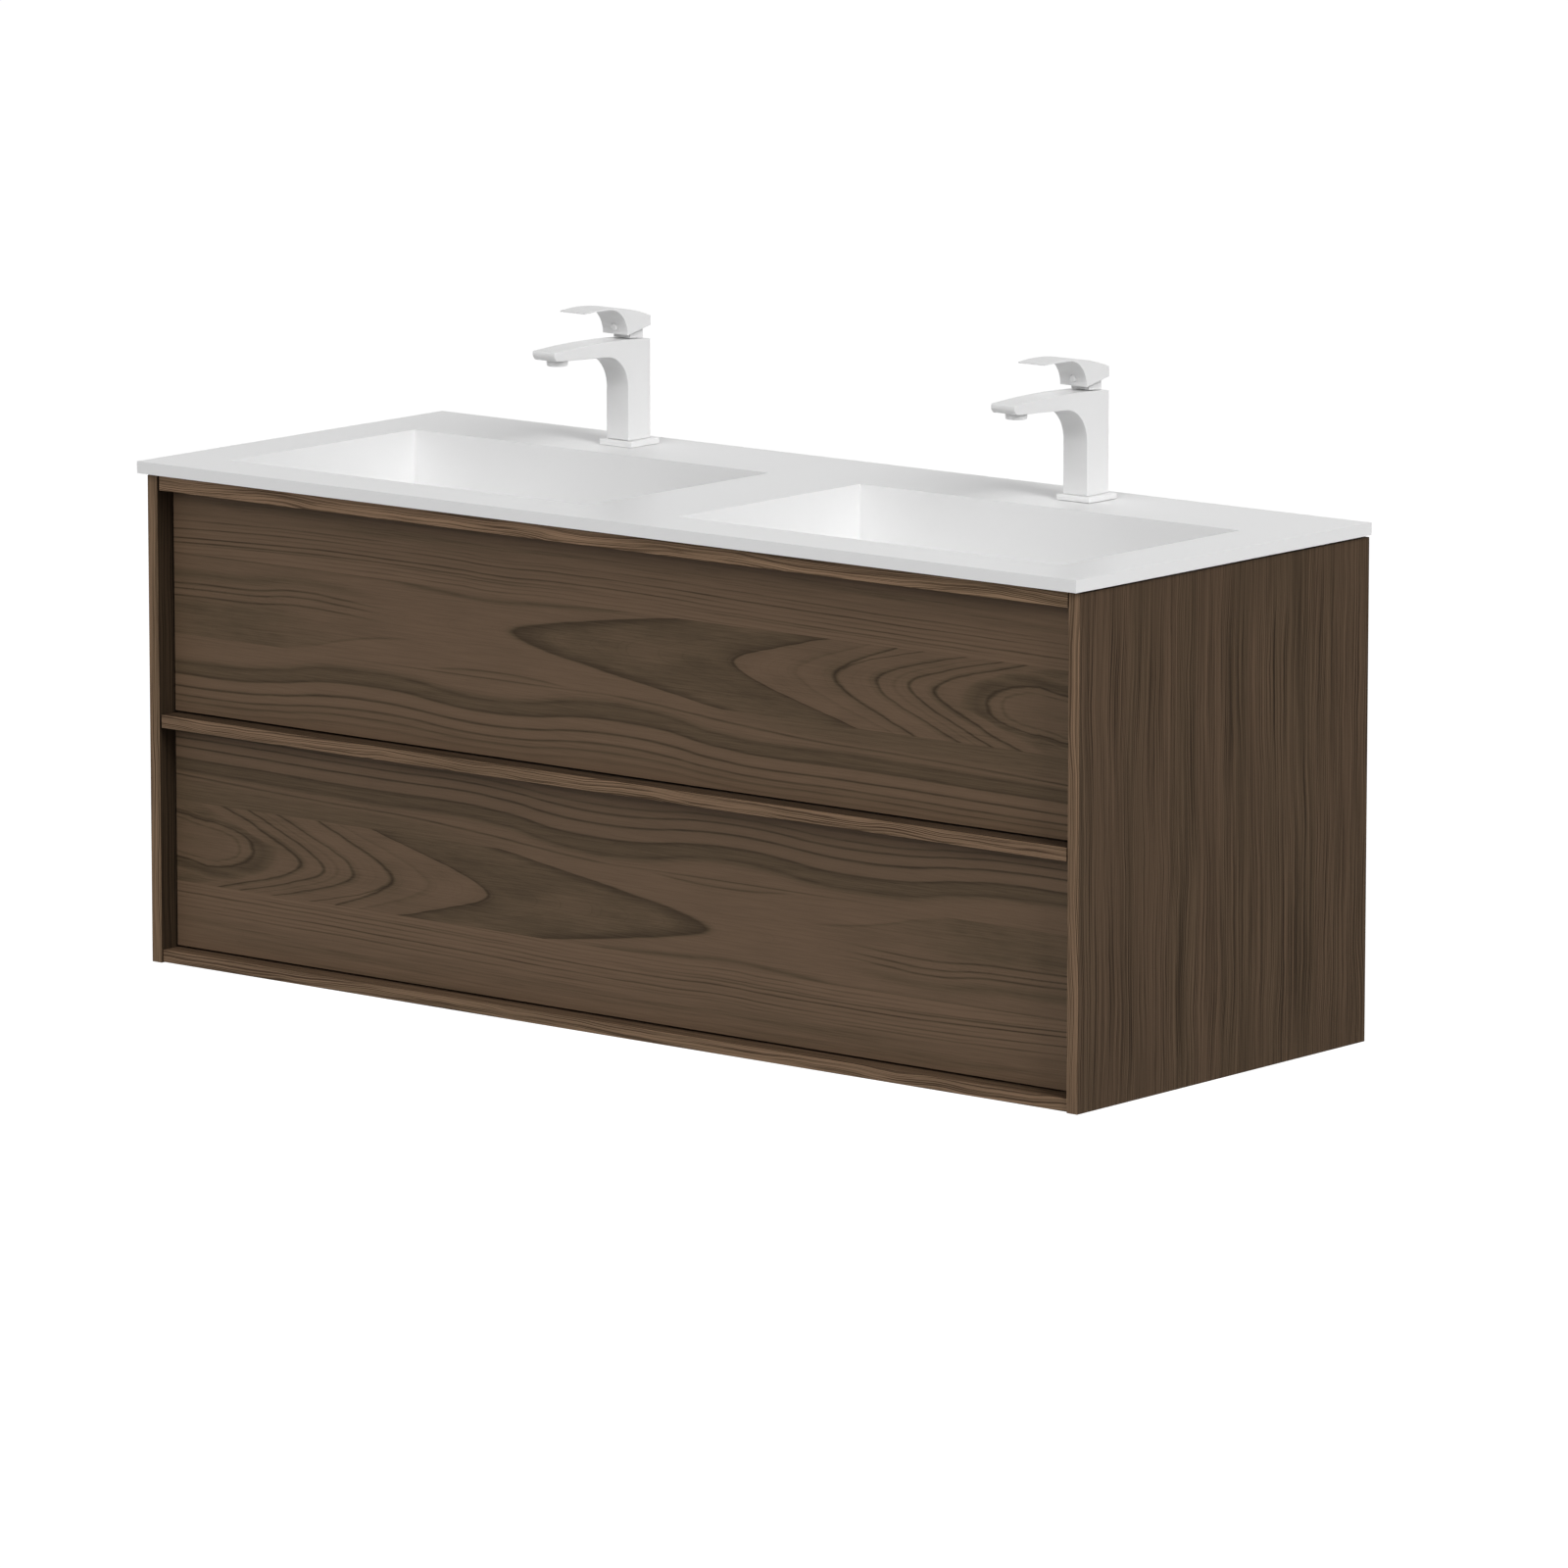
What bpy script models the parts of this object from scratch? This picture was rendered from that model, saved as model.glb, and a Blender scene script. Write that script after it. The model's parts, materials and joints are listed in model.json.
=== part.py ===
"""Wall-hung double vanity cabinet: walnut carcass with two drawers, moulded basin top, two mixer taps.

Lengths below are in millimetres and become metres when a mesh is made. X runs to the right, Y into
the wall (the wall plane is y = 0 and everything lies in front of it), Z up. z = 0 is the middle of
the rear top rail, where the cabinet hangs.
"""
import math

import bmesh
import bpy
from mathutils import Matrix, Vector

MM = 0.001
GAP = 0.3                    # clearance between touching pieces

# Carcass
WIDTH = 1200.0
DEPTH = 458.8
HEIGHT = 502.4
BOARD = 13.0
HANG_HEIGHT = 455.0          # underside of the cabinet to the frame's origin
FRAME_ORIGIN = (0.0, 0.0, HANG_HEIGHT)
RAIL_BOARD = 16.0            # thickness of the two rear rails
RAIL_HEIGHT = 90.0
INNER = WIDTH / 2 - BOARD    # inner face of a side panel, from the centre line
FRONT = -DEPTH
TOP_RAIL_NOTCH = (542.0, 437.0)
BOTTOM_SET_BACK = 2.0
BOTTOM_LEVEL = 0.7
BOTTOM_TOP = 13.5
# Hook housing and wall plate in section, as (y, z): the housing's lip drops behind the plate's upstand.
HANGER_SECTION = ((-64, 444), (-12, 444), (-12, 486), (-5.2, 486), (-5.2, 472), (-2.8, 472), (-2.8, 491),
                  (-12, 491), (-12, 499), (-64, 499))
HANGER_WIDTH = 14.5
PLATE_SECTION = ((-2.2, 440), (0, 440), (0, 464.2), (-6, 464.2), (-6, 484), (-8, 484), (-8, 462), (-2.2, 462))
PLATE_WIDTH = 42.0

# Basin top
TOP_THICKNESS = 12.3
TOP_LEVEL = 505.0            # underside of the slab
TOP_OVERHANG = 4.25
TOP_FRONT = FRONT - 11.0
TOP_BACK = -2.2
BASIN_X = 297.0              # basin, waste and tap centres, from the centre line
BASIN_Y = -264.6
BASIN_WIDTH = 477.0
BASIN_DEPTH = 282.0
BASIN_WALL = 8.0
BOWL_UNDERSIDE = 399.0
FLOOR_EDGE = 413.0
FLOOR_LOW = 407.0
FLOOR_FLAT = 80.0
WORKTOP = TOP_LEVEL + TOP_THICKNESS

# Drawers
RECESS = 22.0                # front panel behind the cabinet's front edge
FRONT_GAP = 2.0              # drawer front to side panel
RAIL_FRONT = FRONT + 1.0
PANEL_FRONT = FRONT + RECESS
PANEL_BACK = PANEL_FRONT + BOARD
UPPER_PANEL = (259.2, 487.5)
LOWER_PANEL = (15.8, 243.4)
LOWER_RAIL_TOP = 256.9        # the upper rail ends level with the side panels
BOX_SIDE = 12.0
BOX_BACK = -30.0
BOX_BOTTOM_BOARD = 8.0
UPPER_BOX = (272.0, 382.0)
LOWER_BOX = (30.0, 215.0)
NOTCH_HALF = 54.0            # cut-out around a trap
NOTCH_FRONT = -317.0
SURROUND_WALL = 8.0

# Runners: three nested channels
RUNNER_SPAN = (-421.0, -21.0)
RUNNER_WALL = 1.4
RUNNER_ROOM = 12.7
UPPER_RUNNER_LEVEL = 327.0
LOWER_RUNNER_LEVEL = 122.0

# Taps; heights from the worktop, y from the vertical axis of the column
TAP_Y = -62.3
PLATE_Y = 1.3
PLATE_SIZE = (43.0, 44.5)
PLATE_TOP = 6.5
COLUMN_WIDTH = 30.0
COLUMN_HALF = 17.3
SPOUT_TIP = -131.1
ARCH_RADIUS = 950.0          # shallow arch of the spout and column top
ARCH_CROWN = (-60.0, 111.9)
SHANK_RADIUS = 13.0
SHANK_END = -31.0
STEM_RADIUS = 5.0
STEM_END = 92.0
AERATOR_Y = -111.3
AERATOR_RADIUS = 10.9
LIFT_AXIS = 123.5
LEVER_HALF = 16.75
NECK_SIZE = (22.0, 20.0)
TRUNNION_RADIUS = 2.5
INDEX_LEVEL = 123.3

WALNUT = ("walnut", (0.115, 0.075, 0.048), 0.5, 0.0)
WALNUT_EDGE = ("walnut_edge", (0.15, 0.1, 0.065), 0.5, 0.0)
BOX_WOOD = ("drawer_box_wood", (0.30, 0.20, 0.12), 0.55, 0.0)
SOLID_SURFACE = ("solid_surface", (0.82, 0.82, 0.82), 0.3, 0.0)
TAP_WHITE = ("tap_white", (0.85, 0.85, 0.85), 0.35, 0.0)
STEEL = ("zinc_steel", (0.6, 0.6, 0.62), 0.35, 1.0)
CHROME = ("chrome", (0.8, 0.8, 0.8), 0.12, 1.0)
PLASTIC = ("trap_plastic", (0.8, 0.8, 0.78), 0.4, 0.0)
SILICONE = ("silicone", (0.7, 0.7, 0.7), 0.6, 0.0)


# ---------------------------------------------------------------- mesh helpers

def material(spec):
    name, colour, roughness, metallic = spec
    found = bpy.data.materials.get(name)
    if found:
        return found
    made = bpy.data.materials.new(name)
    made.use_nodes = True
    shader = made.node_tree.nodes["Principled BSDF"]
    shader.inputs["Base Color"].default_value = (*colour, 1.0)
    shader.inputs["Roughness"].default_value = roughness
    shader.inputs["Metallic"].default_value = metallic
    return made


def finish(bm, name, spec, pivot=FRAME_ORIGIN):
    """Turn a bmesh in cabinet millimetres, z from the underside, into an object with its origin at pivot."""
    bmesh.ops.recalc_face_normals(bm, faces=bm.faces)
    bm.transform(Matrix.Scale(MM, 4) @ Matrix.Translation(-Vector(pivot)))
    mesh = bpy.data.meshes.new(name)
    bm.to_mesh(mesh)
    bm.free()
    mesh.materials.append(material(spec))
    mesh.shade_smooth()
    mesh.set_sharp_from_angle(angle=math.radians(30))
    made = bpy.data.objects.new(name, mesh)
    made.location = (Vector(pivot) - Vector(FRAME_ORIGIN)) * MM
    bpy.context.collection.objects.link(made)
    return made


def add_box(bm, x, y, z):
    """Box between the pairs x, y and z."""
    size = Vector((abs(x[1] - x[0]), abs(y[1] - y[0]), abs(z[1] - z[0])))
    middle = Vector((x[0] + x[1], y[0] + y[1], z[0] + z[1])) / 2
    frame = Matrix.Translation(middle) @ Matrix.Diagonal((*size, 1.0))
    bmesh.ops.create_cube(bm, size=1.0, matrix=frame)


def add_prism(bm, outline, span, axis):
    """Outline extruded across span; axis X reads (y, z), Y reads (x, z) and Z reads (x, y)."""
    order = {"X": lambda a, b, c: (c, a, b), "Y": lambda a, b, c: (a, c, b),
             "Z": lambda a, b, c: (a, b, c)}[axis]
    low = [bm.verts.new(order(a, b, span[0])) for a, b in outline]
    high = [bm.verts.new(order(a, b, span[1])) for a, b in outline]
    bm.faces.new(low)
    bm.faces.new(high)
    for i in range(len(outline)):
        j = (i + 1) % len(outline)
        bm.faces.new((low[i], low[j], high[j], high[i]))


def add_turned(bm, profile, centre, segments=20, ring=False):
    """Turn (radius, z) points about the vertical line through centre; ring closes the profile."""
    loops = []
    for radius, z in profile:
        if radius == 0:
            loops.append([bm.verts.new((*centre, z))])
            continue
        turn = [2 * math.pi * i / segments for i in range(segments)]
        loops.append([bm.verts.new((centre[0] + radius * math.cos(t), centre[1] + radius * math.sin(t), z))
                      for t in turn])
    pairs = list(zip(loops, loops[1:]))
    if ring:
        pairs.append((loops[-1], loops[0]))
    for one, two in pairs:
        for i in range(segments):
            j = (i + 1) % segments
            corners = [one[i % len(one)], one[j % len(one)], two[j % len(two)], two[i % len(two)]]
            bm.faces.new(list(dict.fromkeys(corners)))


def add_rod(bm, start, end, radius, segments=20):
    """Round bar from start to end."""
    start, end = Vector(start), Vector(end)
    along = end - start
    frame = Matrix.Translation((start + end) / 2) @ along.to_track_quat("Z", "Y").to_matrix().to_4x4()
    bmesh.ops.create_cone(bm, cap_ends=True, segments=segments, radius1=radius, radius2=radius,
                          depth=along.length, matrix=frame)


def boolean(bm, tool, operation):
    """Cut tool out of bm, or join it on, and return the result as a new bmesh."""
    pieces = []
    for source in (bm, tool):
        bmesh.ops.recalc_face_normals(source, faces=source.faces)
        mesh = bpy.data.meshes.new("work")
        source.to_mesh(mesh)
        source.free()
        piece = bpy.data.objects.new("work", mesh)
        bpy.context.collection.objects.link(piece)
        pieces.append(piece)
    step = pieces[0].modifiers.new("step", "BOOLEAN")
    step.operation = operation
    step.solver = "EXACT"
    step.object = pieces[1]
    bpy.context.view_layer.update()
    result = bmesh.new()
    result.from_mesh(pieces[0].evaluated_get(bpy.context.evaluated_depsgraph_get()).data)
    for piece in pieces:
        bpy.data.objects.remove(piece)
    return result


def cut(bm, tool):
    return boolean(bm, tool, "DIFFERENCE")


def join(bm, tool):
    return boolean(bm, tool, "UNION")


def box_tool(x, y, z):
    bm = bmesh.new()
    add_box(bm, x, y, z)
    return bm


def rod_tool(start, end, radius, segments=20):
    bm = bmesh.new()
    add_rod(bm, start, end, radius, segments)
    return bm


def board(name, x, y, z, spec, pivot=FRAME_ORIGIN):
    return finish(box_tool(x, y, z), name, spec, pivot)


def arc(centre, radius, start, end, steps):
    """Points of an arc, angles in degrees."""
    turn = [math.radians(start + (end - start) * i / steps) for i in range(steps + 1)]
    return [(centre[0] + radius * math.cos(t), centre[1] + radius * math.sin(t)) for t in turn]


# ---------------------------------------------------------------- carcass

def carcass():
    for side, name in ((-1, "left"), (1, "right")):
        board(f"{name}_side_panel", sorted((side * INNER, side * WIDTH / 2)), (FRONT, 0), (0, HEIGHT), WALNUT)
    reach = INNER - GAP
    board("bottom_panel", (-reach, reach), (FRONT + BOTTOM_SET_BACK, 0), (BOTTOM_LEVEL, BOTTOM_TOP), WALNUT)
    low = BOTTOM_TOP + GAP
    board("rear_bottom_rail", (-reach, reach), (-RAIL_BOARD, 0), (low, low + RAIL_HEIGHT), WALNUT)

    # The top rail is notched at both upper ends, where the hangers reach the wall.
    low, high = HANG_HEIGHT - RAIL_HEIGHT / 2, HANG_HEIGHT + RAIL_HEIGHT / 2
    notch_x, notch_z = TOP_RAIL_NOTCH
    bm = bmesh.new()
    outline = [(-reach, low), (reach, low), (reach, notch_z), (notch_x, notch_z), (notch_x, high),
               (-notch_x, high), (-notch_x, notch_z), (-reach, notch_z)]
    add_prism(bm, outline, (-RAIL_BOARD, 0), "Y")
    finish(bm, "rear_top_rail", WALNUT)


def hangers():
    """Hook housings on the side panels, and the wall plates that they hook over."""
    for side, name in ((-1, "left"), (1, "right")):
        outer = side * (INNER - GAP)
        bm = bmesh.new()
        add_prism(bm, HANGER_SECTION, sorted((outer, outer - side * HANGER_WIDTH)), "X")
        finish(bm, f"{name}_hanger", STEEL)
        bm = bmesh.new()
        add_prism(bm, PLATE_SECTION, sorted((outer, outer - side * PLATE_WIDTH)), "X")
        finish(bm, f"{name}_wall_plate", STEEL)


def bedding_strips():
    """Silicone strips between the side panels and the basin top."""
    for side, name in ((-1, "left"), (1, "right")):
        x = sorted((side * (INNER + 3), side * (WIDTH / 2 - 3)))
        board(f"{name}_bedding_strip", x, (-425, -25), (HEIGHT + GAP, TOP_LEVEL - GAP), SILICONE)


# ---------------------------------------------------------------- basin top and drainage

def bowl_cavity(x):
    """Inside of one basin: upright walls, and a floor that falls to a flat around the waste."""
    bm = bmesh.new()
    levels = ((BASIN_WIDTH / 2, BASIN_DEPTH / 2, WORKTOP + 10), (BASIN_WIDTH / 2, BASIN_DEPTH / 2, FLOOR_EDGE),
              (FLOOR_FLAT / 2, FLOOR_FLAT / 2, FLOOR_LOW))
    loops = []
    for half_x, half_y, z in levels:
        corners = ((-1, -1), (1, -1), (1, 1), (-1, 1))
        loops.append([bm.verts.new((x + a * half_x, BASIN_Y + b * half_y, z)) for a, b in corners])
    bm.faces.new(loops[0])
    bm.faces.new(loops[-1])
    for one, two in zip(loops, loops[1:]):
        for i in range(4):
            j = (i + 1) % 4
            bm.faces.new((one[i], one[j], two[j], two[i]))
    return bm


def basin_top():
    half = WIDTH / 2 + TOP_OVERHANG
    bm = box_tool((-half, half), (TOP_FRONT, TOP_BACK), (TOP_LEVEL, WORKTOP))
    out_x, out_y = BASIN_WIDTH / 2 + BASIN_WALL, BASIN_DEPTH / 2 + BASIN_WALL
    for x in (-BASIN_X, BASIN_X):
        shell = box_tool((x - out_x, x + out_x), (BASIN_Y - out_y, BASIN_Y + out_y),
                         (BOWL_UNDERSIDE, TOP_LEVEL + TOP_THICKNESS / 2))
        bm = join(bm, shell)
    for x in (-BASIN_X, BASIN_X):
        bm = cut(bm, bowl_cavity(x))
        bm = cut(bm, rod_tool((x, BASIN_Y, BOWL_UNDERSIDE - 5), (x, BASIN_Y, FLOOR_LOW + 5), 21.5, 24))
        bm = cut(bm, rod_tool((x, TAP_Y, TOP_LEVEL - 5), (x, TAP_Y, WORKTOP + 5), 17.0, 24))
    finish(bm, "basin_top", SOLID_SURFACE)


def waste(name, x):
    centre = (x, BASIN_Y)
    flange_top = FLOOR_LOW + GAP + 2.5
    tail_end = 372.0
    bm = bmesh.new()
    profile = [(31.5, FLOOR_LOW + GAP), (31.5, flange_top - 0.8), (30.5, flange_top), (19.5, flange_top),
               (17, FLOOR_LOW - 1), (17, tail_end), (21, tail_end), (21, FLOOR_LOW + GAP)]
    add_turned(bm, profile, centre, 24, ring=True)
    bridge = box_tool((x - 19, x + 19), (BASIN_Y - 5, BASIN_Y + 5), (393, 398))
    bridge = cut(bridge, rod_tool((*centre, 390), (*centre, 401), 4.4, 16))
    bm = join(bm, bridge)
    finish(bm, f"{name}_waste_body", CHROME)

    bm = bmesh.new()
    top = BOWL_UNDERSIDE - GAP
    add_turned(bm, [(21.4, top), (29, top), (29, top - 10), (21.4, top - 10)], centre, 24, ring=True)
    finish(bm, f"{name}_waste_nut", PLASTIC)

    rest = flange_top + GAP
    bm = bmesh.new()
    profile = [(0, 386), (4, 386), (4, rest), (29, rest), (30, rest + 1.2), (27, rest + 3), (14, rest + 4.1),
               (0, rest + 4.4)]
    add_turned(bm, profile, centre, 24)
    finish(bm, f"{name}_waste_plug", CHROME, (*centre, rest))


def trap(name, x):
    """Bottle trap: body with dip tube and outlet to the wall, and the screw-on cup below it."""
    centre = (x, BASIN_Y)
    outlet = 340.0
    bm = bmesh.new()
    profile = [(21.4, 384), (26, 384), (26, 363), (35, 359), (35, 322), (31, 322), (31, 354), (16, 354),
               (16, 285), (14, 285), (14, 366), (21.4, 366)]
    add_turned(bm, profile, centre, ring=True)
    bm = join(bm, rod_tool((x, BASIN_Y + 32.5, outlet), (x, 0, outlet), 15.5))
    bm = cut(bm, rod_tool((x, BASIN_Y + 22, outlet), (x, 10, outlet), 13.0))
    finish(bm, f"{name}_trap_body", PLASTIC)

    bm = bmesh.new()
    rim = 322 - GAP
    profile = [(0, 268), (28, 268), (35, 276), (35, rim), (31.5, rim), (31.5, 277), (27, 271.5), (0, 271.5)]
    add_turned(bm, profile, centre)
    finish(bm, f"{name}_trap_cup", PLASTIC)


# ---------------------------------------------------------------- taps

def arch_height(y):
    return ARCH_CROWN[1] - (y - ARCH_CROWN[0]) ** 2 / (2 * ARCH_RADIUS)


def along(start, end, steps):
    return [start + (end - start) * i / steps for i in range(steps + 1)]


def tap_outline():
    """Column and spout from the side, as (y, height), from the foot of the back over the top to the front."""
    nose_top = arch_height(SPOUT_TIP)
    bend = 35.3
    under_back = 96.2
    points = [(COLUMN_HALF, PLATE_TOP + GAP)]
    points += [(y, arch_height(y)) for y in along(COLUMN_HALF, SPOUT_TIP, 12)]
    points += arc((SPOUT_TIP, nose_top - 1.5), 1.5, 90, 180, 3)[1:]
    points += arc((SPOUT_TIP + 5.0, nose_top - 3.2), 6.5, 180, 265, 6)
    points += arc((-COLUMN_HALF - bend, under_back - bend), bend, 90, 0, 14)
    points += [(-COLUMN_HALF, PLATE_TOP + GAP)]
    return points


def lever_outline():
    crown_y, crown, radius = -61.7, 146.9, 215.0
    tip, back = -87.2, 15.3
    points = [(y, crown - (y - crown_y) ** 2 / (2 * radius)) for y in along(back, tip, 14)]
    points += [(tip, points[-1][1] - 1.3), (-68.0, 144.9)]
    points += arc((-49.2, 116.0), 28.7, 90, 0, 12)
    points += [(back, 122.8)]
    return points


def placed(outline, level):
    """Tap outline moved to the tap's axis and onto the worktop."""
    return [(TAP_Y + y, level + z) for y, z in outline]


def tap(name, x):
    axis = (x, TAP_Y)
    half_x, half_y = PLATE_SIZE[0] / 2, PLATE_SIZE[1] / 2
    plate = box_tool((x - half_x, x + half_x), (TAP_Y + PLATE_Y - half_y, TAP_Y + PLATE_Y + half_y),
                     (WORKTOP + GAP, WORKTOP + PLATE_TOP))
    plate = cut(plate, rod_tool((*axis, WORKTOP - 5), (*axis, WORKTOP + 20), SHANK_RADIUS + 0.5))
    finish(plate, f"{name}_tap_base", TAP_WHITE)

    bm = bmesh.new()
    add_prism(bm, placed(tap_outline(), WORKTOP), (x - COLUMN_WIDTH / 2, x + COLUMN_WIDTH / 2), "X")
    bm = join(bm, rod_tool((*axis, WORKTOP + SHANK_END), (*axis, WORKTOP + 20), SHANK_RADIUS))
    bore = (*axis, WORKTOP + STEM_END - 2)
    bm = cut(bm, rod_tool(bore, (*axis, WORKTOP + 120), STEM_RADIUS + GAP, 16))
    for side in (-1, 1):
        inlet = x + side * 6.3
        bm = cut(bm, rod_tool((inlet, TAP_Y, WORKTOP + SHANK_END - 5), (inlet, TAP_Y, WORKTOP - 14), 4.5, 12))
    spout = (x, TAP_Y + AERATOR_Y)
    bm = cut(bm, rod_tool((*spout, WORKTOP + 90), (*spout, WORKTOP + 102.6), AERATOR_RADIUS + GAP, 28))
    finish(bm, f"{name}_tap_body", TAP_WHITE)

    bm = bmesh.new()
    low, high = WORKTOP + 93.0, WORKTOP + 102.3
    profile = [(0, low + 4), (8.5, low + 4), (8.5, low), (10.1, low), (AERATOR_RADIUS, low + 0.8),
               (AERATOR_RADIUS, high), (0, high)]
    add_turned(bm, profile, spout, 28)
    finish(bm, f"{name}_tap_aerator", TAP_WHITE)

    # Flanged backnut on the shank, below the slab.
    bm = bmesh.new()
    hole, top = SHANK_RADIUS + 0.4, TOP_LEVEL - GAP
    profile = [(hole, top), (26, top), (26, top - 3), (20, top - 3), (20, top - 12), (hole, top - 12)]
    add_turned(bm, profile, axis, ring=True)
    finish(bm, f"{name}_tap_backnut", STEEL)

    tap_handle(name, x)


def tap_handle(name, x):
    """The neck turns on the column; the lever rocks on the neck's two trunnions."""
    axis = (x, TAP_Y)
    half_x, half_y = NECK_SIZE[0] / 2, NECK_SIZE[1] / 2
    clear = 0.85                 # the neck's corners swing up the arch of the column top
    knuckle = 4.0
    shoulder = LIFT_AXIS - 2.0
    outline = [(-half_y, arch_height(-half_y) + clear), (half_y, arch_height(half_y) + clear),
               (half_y, shoulder), (knuckle, shoulder)]
    outline += arc((0, LIFT_AXIS), knuckle, 0, 180, 8)
    outline += [(-knuckle, shoulder), (-half_y, shoulder)]
    bm = bmesh.new()
    add_prism(bm, placed(outline, WORKTOP), (x - half_x, x + half_x), "X")
    pin = WORKTOP + LIFT_AXIS
    bm = join(bm, rod_tool((x - 15.2, TAP_Y, pin), (x + 15.2, TAP_Y, pin), TRUNNION_RADIUS, 16))
    bm = join(bm, rod_tool((*axis, WORKTOP + STEM_END), (*axis, WORKTOP + 115), STEM_RADIUS, 16))
    finish(bm, f"{name}_tap_neck", TAP_WHITE, (*axis, pin))

    bm = bmesh.new()
    add_prism(bm, placed(lever_outline(), WORKTOP), (x - LEVER_HALF, x + LEVER_HALF), "X")
    bm = cut(bm, box_tool((x - 14.2, x + 14.2), (TAP_Y - 13, TAP_Y + 13), (WORKTOP + 105, WORKTOP + 129.5)))
    bm = cut(bm, rod_tool((x - 15.6, TAP_Y, pin), (x + 15.6, TAP_Y, pin), TRUNNION_RADIUS + GAP, 16))
    front, seat, proud = TAP_Y - 40, TAP_Y - 18.4, TAP_Y - 23.7
    level = WORKTOP + INDEX_LEVEL
    bm = cut(bm, rod_tool((x, front, level), (x, seat, level), 4.2, 24))
    finish(bm, f"{name}_tap_lever", TAP_WHITE, (*axis, pin))
    bm = rod_tool((x, proud, level), (x, seat - GAP, level), 3.9, 24)
    finish(bm, f"{name}_tap_index_plug", TAP_WHITE, (*axis, pin))


# ---------------------------------------------------------------- drawers

def drawer_front(name, panel, rail_top, home):
    reach = INNER - FRONT_GAP
    board(f"{name}_front_panel", (-reach, reach), (PANEL_FRONT, PANEL_BACK), panel, WALNUT, home)
    board(f"{name}_handle_rail", (-reach, reach), (RAIL_FRONT, PANEL_BACK), (panel[1] + GAP, rail_top),
          WALNUT_EDGE, home)


def drawer_sides(name, box, home):
    outer = INNER - RUNNER_ROOM
    for side, word in ((-1, "left"), (1, "right")):
        x = sorted((side * outer, side * (outer - BOX_SIDE)))
        board(f"{name}_{word}_side", x, (PANEL_BACK + GAP, BOX_BACK), box, BOX_WOOD, home)


def upper_drawer():
    home = (0.0, PANEL_FRONT, UPPER_PANEL[0])
    drawer_front("upper", UPPER_PANEL, HEIGHT, home)
    drawer_sides("upper", UPPER_BOX, home)

    # The bottom is cut out around both traps, from the back.
    reach = INNER - RUNNER_ROOM - BOX_SIDE - GAP
    front = PANEL_BACK + GAP
    outline = [(-reach, front), (reach, front), (reach, BOX_BACK)]
    for x in (BASIN_X, -BASIN_X):
        outline += [(x + NOTCH_HALF, BOX_BACK), (x + NOTCH_HALF, NOTCH_FRONT), (x - NOTCH_HALF, NOTCH_FRONT),
                    (x - NOTCH_HALF, BOX_BACK)]
    outline += [(-reach, BOX_BACK)]
    low = UPPER_BOX[0] + 4.0
    bm = bmesh.new()
    add_prism(bm, outline, (low, low + BOX_BOTTOM_BOARD), "Z")
    finish(bm, "upper_bottom", BOX_WOOD, home)

    # The back wall stands on the bottom and bends forward around both traps.
    outer = NOTCH_HALF + SURROUND_WALL
    inside, bend = BOX_BACK - BOX_SIDE, NOTCH_FRONT - SURROUND_WALL
    outline = [(-reach, inside)]
    for x in (-BASIN_X, BASIN_X):
        outline += [(x - outer, inside), (x - outer, bend), (x + outer, bend), (x + outer, inside)]
    outline += [(reach, inside), (reach, BOX_BACK)]
    for x in (BASIN_X, -BASIN_X):
        outline += [(x + NOTCH_HALF, BOX_BACK), (x + NOTCH_HALF, NOTCH_FRONT), (x - NOTCH_HALF, NOTCH_FRONT),
                    (x - NOTCH_HALF, BOX_BACK)]
    outline += [(-reach, BOX_BACK)]
    bm = bmesh.new()
    add_prism(bm, outline, (low + BOX_BOTTOM_BOARD + GAP, UPPER_BOX[1]), "Z")
    finish(bm, "upper_back", BOX_WOOD, home)


def lower_drawer():
    home = (0.0, PANEL_FRONT, LOWER_PANEL[0])
    drawer_front("lower", LOWER_PANEL, LOWER_RAIL_TOP, home)
    drawer_sides("lower", LOWER_BOX, home)
    reach = INNER - RUNNER_ROOM - BOX_SIDE - GAP
    bottom_top = LOWER_BOX[0] + BOX_BOTTOM_BOARD
    board("lower_bottom", (-reach, reach), (PANEL_BACK + GAP, BOX_BACK), (LOWER_BOX[0], bottom_top),
          BOX_WOOD, home)
    board("lower_back", (-reach, reach), (BOX_BACK - BOX_SIDE, BOX_BACK), (bottom_top + GAP, LOWER_BOX[1]),
          BOX_WOOD, home)


def channel(outer, inner, half_height, opens_inward):
    """C section as (x, z), its web at outer when it opens inward and at inner otherwise."""
    wall = RUNNER_WALL
    if opens_inward:
        web, mouth, step = outer, inner, -wall
    else:
        web, mouth, step = inner, outer, wall
    return [(web, -half_height), (web, half_height), (mouth, half_height), (mouth, half_height - wall),
            (web + step, half_height - wall), (web + step, wall - half_height), (mouth, wall - half_height),
            (mouth, -half_height)]


def runners(name, level, home):
    """Left and right sets of cabinet, middle and drawer members."""
    near, far = INNER - GAP, INNER - RUNNER_ROOM + GAP
    sections = {"cabinet": (channel(near, near - 9, 22.5, True), FRAME_ORIGIN),
                "middle": (channel(near - 2, near - 10, 18.5, True), (0.0, RUNNER_SPAN[0], level)),
                "drawer": (channel(near - 4.2, far, 14.0, False), home)}
    for word, (section, pivot) in sections.items():
        for side, hand in ((-1, "left"), (1, "right")):
            bm = bmesh.new()
            add_prism(bm, [(side * x, level + z) for x, z in section], RUNNER_SPAN, "Y")
            finish(bm, f"{name}_{hand}_runner_{word}_member", STEEL, pivot)


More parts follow.
